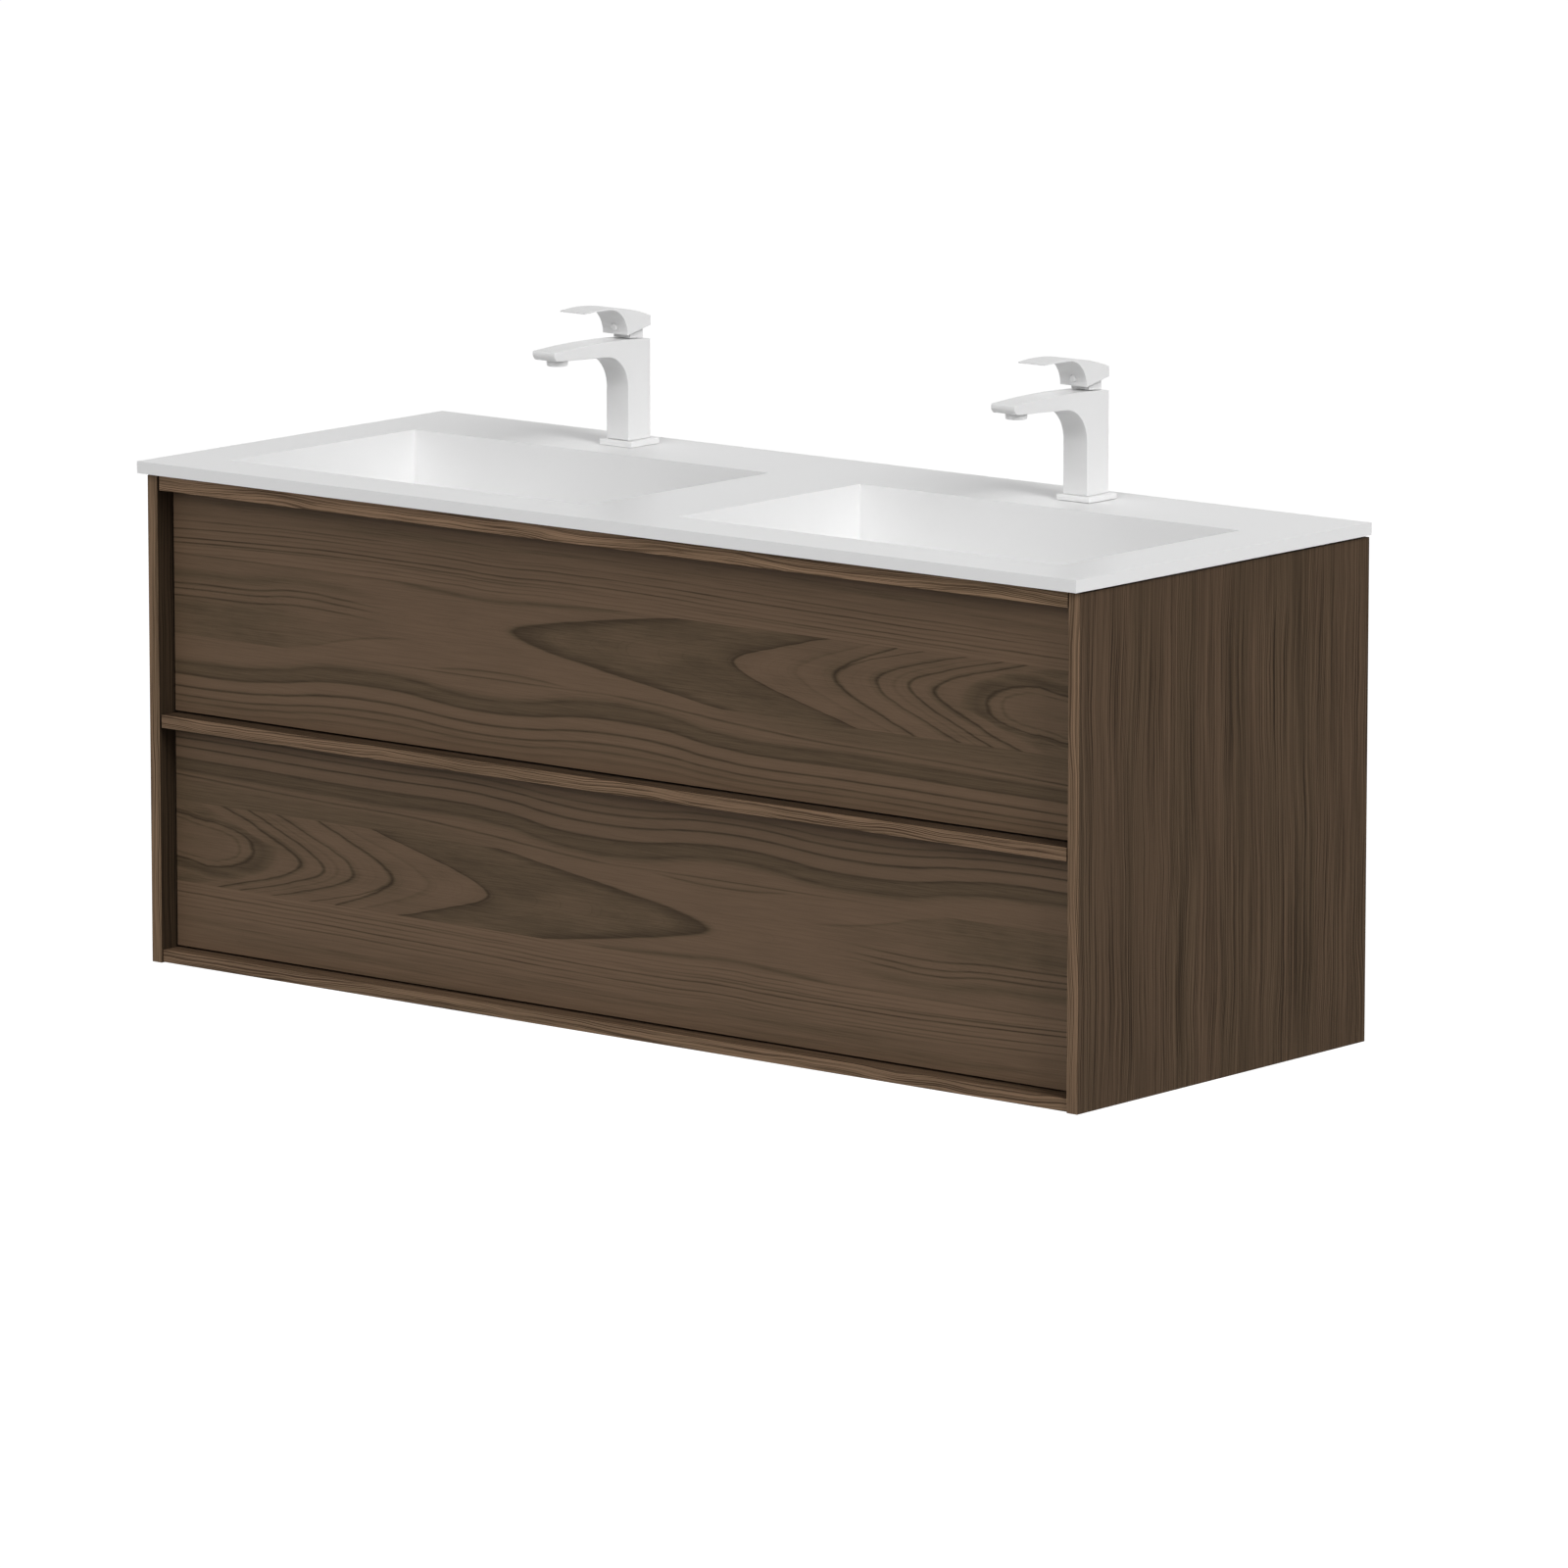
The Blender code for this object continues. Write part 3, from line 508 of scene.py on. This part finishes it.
def board_veneer(name, grain, front_mm, gains, lines=0.2, seed=0.0):
    """Straight-grained walnut of a board whose front edge is at front_mm.

    Grain is its axis, x or z, or "wall" for upright walls that turn corners. Gains are the brightness of the
    front edge, the outside and the inside, where dim faces are painted shade and a raised front is painted
    light; lines is the strength of its fine dark lines.
    """
    material, net, shader = start_material(name)
    x, y, z = net.place_mm()
    gain = zone_gain(net, x, y, front_mm, *gains)
    if grain == "x":
        along, across = x, net.add(z, y)
    elif grain == "z":
        along, across = z, net.add(x, y)
    else:
        along, across = net.add(x, y), z
    across = net.add(across, seed)
    drift = net.wobble(along, across, (0.004, 0.010), 24.0, 1.0)
    waver = net.wobble(along, across, (0.025, 0.05), 2.6, 2.0)
    across = net.add(across, net.add(drift, waver))
    tone = grain_layer(net, along, across, BROAD_RATES, detail=3.0)
    dark = net.fit(tone, 0.35, 0.65, 0.40, 0.56)
    for *rates, share in GRAIN_LAYERS:
        dark = net.add(dark, net.fit(grain_layer(net, along, across, rates), 0.3, 0.7, -share, share))
    dark_lines = net.fit(grain_layer(net, along, across, DARK_LINE_RATES), 0.56, 0.64)
    dark = net.add(dark, net.times(dark_lines, lines))
    dark = net.add(dark, net.fit(grain_layer(net, along, across, PALE_LINE_RATES), 0.57, 0.64, 0.0, -0.60))
    streaks, pores = fine_grain(net, along, across, 0.0)
    dark = net.add(dark, net.times(pores, 0.14))
    if grain == "wall":
        dark = plain_top_edge(net, x, y, dark)
    green = net.fit(tone, 0.44, 0.62, 0.0, 0.5)
    finish_walnut(net, shader, walnut_colour(net, dark, green, gain), streaks, pores)
    shader.inputs["Specular IOR Level"].default_value = BOARD_SHEEN
    return material


# ---------------------------------------------------------------- other materials

# Cells of noise for each metre: the lay of bare metal, and the streaks of drawn or rolled metal along and
# across them.
BARE_RATE = 260.0
STREAK_ALONG = 40.0
STREAK_ACROSS = 1400.0


def cast_stone():
    """Satin white cast mineral: even, with the faintest clouding and orange peel."""
    material, net, shader = start_material("white_cast_stone")
    point = net.place()
    cloud = net.noise(point, 9.0, 3.0)
    peel = net.noise(point, 230.0, 2.0)
    net.put(shader.inputs["Base Color"], net.tint(cloud, grey(0.85), grey(0.87)))
    net.put(shader.inputs["Roughness"], net.fit(cloud, 0.3, 0.7, 0.29, 0.34))
    shader.inputs["Specular IOR Level"].default_value = 0.45
    finish_surface(net, shader, peel, 0.005)
    return material


def coated_metal():
    """Satin white coating of the taps, with a slight spray texture."""
    material, net, shader = start_material("white_coated_metal")
    point = net.place()
    spray = net.noise(point, 1500.0, 2.0)
    cloud = net.noise(point, 30.0, 2.0)
    net.put(shader.inputs["Base Color"], net.tint(cloud, grey(0.81), grey(0.83)))
    net.put(shader.inputs["Roughness"], net.fit(spray, 0.3, 0.7, 0.29, 0.36))
    shader.inputs["Specular IOR Level"].default_value = 0.5
    finish_surface(net, shader, spray, 0.006)
    return material


def metal(name, colour, roughness, streak_axis=None, spread=0.06):
    """Bare or plated metal; streaks run along streak_axis where it is drawn or rolled."""
    material, net, shader = start_material(name)
    parts = net.node("SeparateXYZ")
    net.put(parts.inputs[0], net.place())
    if streak_axis is None:
        rates = (BARE_RATE, BARE_RATE, BARE_RATE)
    else:
        rates = (STREAK_ALONG if axis == streak_axis else STREAK_ACROSS for axis in "xyz")
    place = net.vector(*(net.times(socket, rate) for socket, rate in zip(parts.outputs, rates)))
    texture = net.noise(place, detail=3.0)
    light = (*(part * 1.08 for part in colour), 1.0)
    deep = (*(part * 0.86 for part in colour), 1.0)
    net.put(shader.inputs["Base Color"], net.tint(texture, deep, light))
    shader.inputs["Metallic"].default_value = 1.0
    net.put(shader.inputs["Roughness"], net.fit(texture, 0.3, 0.7, roughness - spread, roughness + spread))
    finish_surface(net, shader, texture, 0.01)
    return material


def soft_plastic(name, colour, roughness, bump_mm):
    """Moulded plastic or rubber with a fine mould texture."""
    material, net, shader = start_material(name)
    point = net.place()
    grain = net.noise(point, 900.0, 2.0)
    cloud = net.noise(point, 25.0, 2.0)
    shade = (*(part * 0.94 for part in colour), 1.0)
    net.put(shader.inputs["Base Color"], net.tint(cloud, (*colour, 1.0), shade))
    net.put(shader.inputs["Roughness"], net.fit(grain, 0.3, 0.7, roughness - 0.05, roughness + 0.05))
    finish_surface(net, shader, grain, bump_mm)
    return material


# ---------------------------------------------------------------- shape

CRISP = math.radians(35)     # edges sharper than this are rounded and stay crisp in the shading
FLAT = math.radians(0.5)     # triangles closer in angle than this are one flat face
SAME_POINT = 0.000005
# Width in mm and segments of the rounded edges: taps, basin top, and the rest.
TAP_EDGES = (1.5, 3)
TOP_EDGES = (0.8, 3)
OTHER_EDGES = (0.4, 2)


def geometry_group(name):
    """An empty geometry node group, with its input and its output."""
    group = bpy.data.node_groups.new(name, "GeometryNodeTree")
    for way in ("INPUT", "OUTPUT"):
        group.interface.new_socket("Geometry", in_out=way, socket_type="NodeSocketGeometry")
    return group, group.nodes.new("NodeGroupInput"), group.nodes.new("NodeGroupOutput")


def smooth_by_angle():
    """Geometry nodes that shade smoothly, except across crisp edges."""
    group, source, sink = geometry_group("smooth_by_angle")
    angle = group.nodes.new("GeometryNodeInputMeshEdgeAngle")
    gentle = group.nodes.new("FunctionNodeCompare")
    gentle.operation = "LESS_THAN"
    gentle.inputs[1].default_value = CRISP
    faces = group.nodes.new("GeometryNodeSetShadeSmooth")
    edges = group.nodes.new("GeometryNodeSetShadeSmooth")
    edges.domain = "EDGE"
    link = group.links.new
    link(source.outputs[0], faces.inputs[0])
    link(faces.outputs[0], edges.inputs[0])
    link(angle.outputs[0], gentle.inputs[0])
    link(gentle.outputs[0], edges.inputs["Shade Smooth"])
    link(edges.outputs[0], sink.inputs[0])
    return group


def drop_import_normals():
    """Geometry nodes that join the imported triangles and forget their flat normals."""
    group, source, sink = geometry_group("join_triangles")
    merge = group.nodes.new("GeometryNodeMergeByDistance")
    merge.inputs["Distance"].default_value = SAME_POINT
    forget = group.nodes.new("GeometryNodeRemoveAttribute")
    forget.inputs["Name"].default_value = "custom_normal"
    group.links.new(source.outputs[0], forget.inputs[0])
    group.links.new(forget.outputs[0], merge.inputs[0])
    group.links.new(merge.outputs[0], sink.inputs[0])
    return group


def round_edges(piece, join, shade, width_mm, segments):
    """Join the triangles, merge flat faces, round every crisp edge and shade the result."""
    piece.modifiers.new("join", "NODES").node_group = join
    flat = piece.modifiers.new("flat", "DECIMATE")
    flat.decimate_type = "DISSOLVE"
    flat.angle_limit = FLAT
    bevel = piece.modifiers.new("edges", "BEVEL")
    bevel.width = width_mm * MM
    bevel.segments = segments
    bevel.limit_method = "ANGLE"
    bevel.angle_limit = CRISP
    bevel.use_clamp_overlap = True
    piece.modifiers.new("shade", "NODES").node_group = shade
    weights = piece.modifiers.new("weights", "WEIGHTED_NORMAL")
    weights.keep_sharp = True


def dress(piece, material):
    for slot in piece.material_slots:
        slot.material = material


# ---------------------------------------------------------------- studio

GROUND_LIGHT = 0.27          # soft light from below
WALL_LIGHT = 0.42            # from the horizon, fading upwards
CEILING_LIGHT = 0.02         # from straight above
HORIZON_BLUR = 0.06
ROOM_SIZE = 70.0
FLOOR_LEVEL = -1.25
FLOOR_REFLECTANCE = 0.30
FLOOR_GLOW = 0.95
CABINET_MIDDLE = (0.0, -0.2, 0.0)
# Soft boxes: name, place, side and power in watts; each looks at the middle of the cabinet.
SOFT_BOXES = (("high_key", (10.0, -2.7, 9.75), 4.5, 560.0), ("low_key", (12.25, -3.7, 7.0), 4.5, 740.0),
              ("front", (1.5, -13.2, 7.5), 7.5, 745.0))
CAMERA_PLACE = (6.8598, -8.4620, 1.6747)
CAMERA_DOWN = 10.101         # degrees below level
CAMERA_TURN = 39.606         # degrees left of straight at the wall
LENS_MM = 250.0


def stage_piece(name, bm, reflectance, glow):
    """A plain white piece of the studio that the camera and reflections see, but that lights nothing."""
    mesh = bpy.data.meshes.new(name)
    bm.to_mesh(mesh)
    bm.free()
    piece = bpy.data.objects.new(name, mesh)
    bpy.context.collection.objects.link(piece)
    piece.visible_diffuse = False
    piece.visible_shadow = False
    material, _, shader = start_material(name + "_white")
    shader.inputs["Base Color"].default_value = grey(reflectance)
    shader.inputs["Roughness"].default_value = 0.9
    shader.inputs["Specular IOR Level"].default_value = 0.0
    shader.inputs["Emission Color"].default_value = grey(1.0)
    shader.inputs["Emission Strength"].default_value = glow
    mesh.materials.append(material)


def soft_sky():
    """Light from all round: even below the horizon, and fading from there to the top."""
    world = bpy.data.worlds.new("studio")
    bpy.context.scene.world = world
    world.use_nodes = True
    net = Net(world.node_tree)
    direction = net.node("SeparateXYZ")
    net.put(direction.inputs[0], net.node("TexCoord").outputs["Generated"])
    height = direction.outputs["Z"]
    above = net.fit(height, 0.0, 1.0, WALL_LIGHT, CEILING_LIGHT)
    light = net.blend(net.fit(height, -HORIZON_BLUR, 0.0), GROUND_LIGHT, above)
    background = world.node_tree.nodes["Background"]
    net.put(background.inputs["Strength"], light)
    background.inputs["Color"].default_value = grey(1.0)


def soft_box(name, place, size, power):
    lamp = bpy.data.lights.new(name, "AREA")
    lamp.shape = "SQUARE"
    lamp.size = size
    lamp.energy = power
    made = bpy.data.objects.new(name, lamp)
    made.location = place
    made.rotation_euler = (Vector(CABINET_MIDDLE) - Vector(place)).to_track_quat("-Z", "Y").to_euler()
    bpy.context.collection.objects.link(made)


def studio():
    floor = bmesh.new()
    bmesh.ops.create_grid(floor, size=ROOM_SIZE / 2)
    floor.transform(Matrix.Translation((0.0, 0.0, FLOOR_LEVEL)))
    stage_piece("floor", floor, FLOOR_REFLECTANCE, FLOOR_GLOW)
    room = bmesh.new()
    bmesh.ops.create_cube(room, size=ROOM_SIZE)
    stage_piece("room", room, 0.0, 1.0)
    soft_sky()
    for name, place, size, power in SOFT_BOXES:
        soft_box(name, place, size, power)


def camera():
    lens = bpy.data.cameras.new("camera")
    lens.lens = LENS_MM
    lens.sensor_width = 36.0
    lens.clip_end = 200.0
    made = bpy.data.objects.new("camera", lens)
    made.location = CAMERA_PLACE
    made.rotation_euler = (math.radians(90 - CAMERA_DOWN), 0.0, math.radians(CAMERA_TURN))
    bpy.context.collection.objects.link(made)
    bpy.context.scene.camera = made


# ---------------------------------------------------------------- the vanity

def slot_materials(rail_front):
    """The material of each CAD material slot that has one for all its pieces."""
    return {
        "walnut_rails": board_veneer("walnut_rail", "x", rail_front, RAIL_GAINS, lines=0.8, seed=210.0),
        "drawer_box_wood": board_veneer("drawer_wall_walnut", "wall", NO_EDGE_MM, DRAWER_GAINS, seed=70.0),
        "basin_top": cast_stone(),
        "tap_white": coated_metal(),
        "waste_chrome": metal("polished_chrome", (0.80, 0.80, 0.82), 0.10, spread=0.03),
        "trap_plastic": soft_plastic("trap_plastic", (0.78, 0.78, 0.76), 0.40, 0.01),
        "backnut_brass": metal("turned_brass", (0.72, 0.55, 0.28), 0.36, "z"),
        "hanger_steel": metal("zinc_plate", (0.58, 0.59, 0.61), 0.38),
        "runner_steel": metal("rolled_zinc_steel", (0.60, 0.61, 0.63), 0.36, "y"),
        "silicone": soft_plastic("silicone", (0.62, 0.62, 0.61), 0.50, 0.02),
    }


def own_materials(side_front, rail_front, bottom_front):
    """The material of each piece that differs from the rest of its slot."""
    upright = board_veneer("walnut_side", "z", side_front, SIDE_GAINS, lines=0.26, seed=20.0)
    drawer_floor = board_veneer("drawer_floor_walnut", "x", NO_EDGE_MM, DRAWER_GAINS, seed=90.0)
    level = board_veneer("walnut_bottom", "x", bottom_front, BOTTOM_GAINS, lines=0.60, seed=130.0)
    upper_rail = board_veneer("walnut_upper_rail", "x", rail_front, UPPER_RAIL_GAINS, lines=0.8, seed=250.0)
    return {
        "left_side_panel": upright, "right_side_panel": upright, "bottom_panel": level,
        "rear_top_rail": level, "rear_bottom_rail": level,
        "upper_bottom": drawer_floor, "lower_bottom": drawer_floor,
        "upper_handle_rail": upper_rail,
        "upper_front_panel": front_veneer("walnut_upper_front", False),
        "lower_front_panel": front_veneer("walnut_lower_front", True),
    }


def main():
    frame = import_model()
    nodes = frame["nodes"]
    slots = {part["node"]: part["material_slot"] for part in frame["record"]["subparts"]}
    side_front, rail_front = (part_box(name)[0][1] / MM for name in ("left_side_panel", "upper_handle_rail"))
    bottom_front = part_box("bottom_panel")[0][1] / MM
    shared = slot_materials(rail_front)
    own = own_materials(side_front, rail_front, bottom_front)
    join = drop_import_normals()
    shade = smooth_by_angle()
    for name, piece in nodes.items():
        dress(piece, own.get(name) or shared[slots[name]])
        if "_tap_" in name:
            round_edges(piece, join, shade, *TAP_EDGES)
        elif slots[name] == "basin_top":
            round_edges(piece, join, shade, *TOP_EDGES)
        else:
            round_edges(piece, join, shade, *OTHER_EDGES)
    studio()
    camera()
    bpy.context.scene.view_settings.view_transform = "Standard"


main()
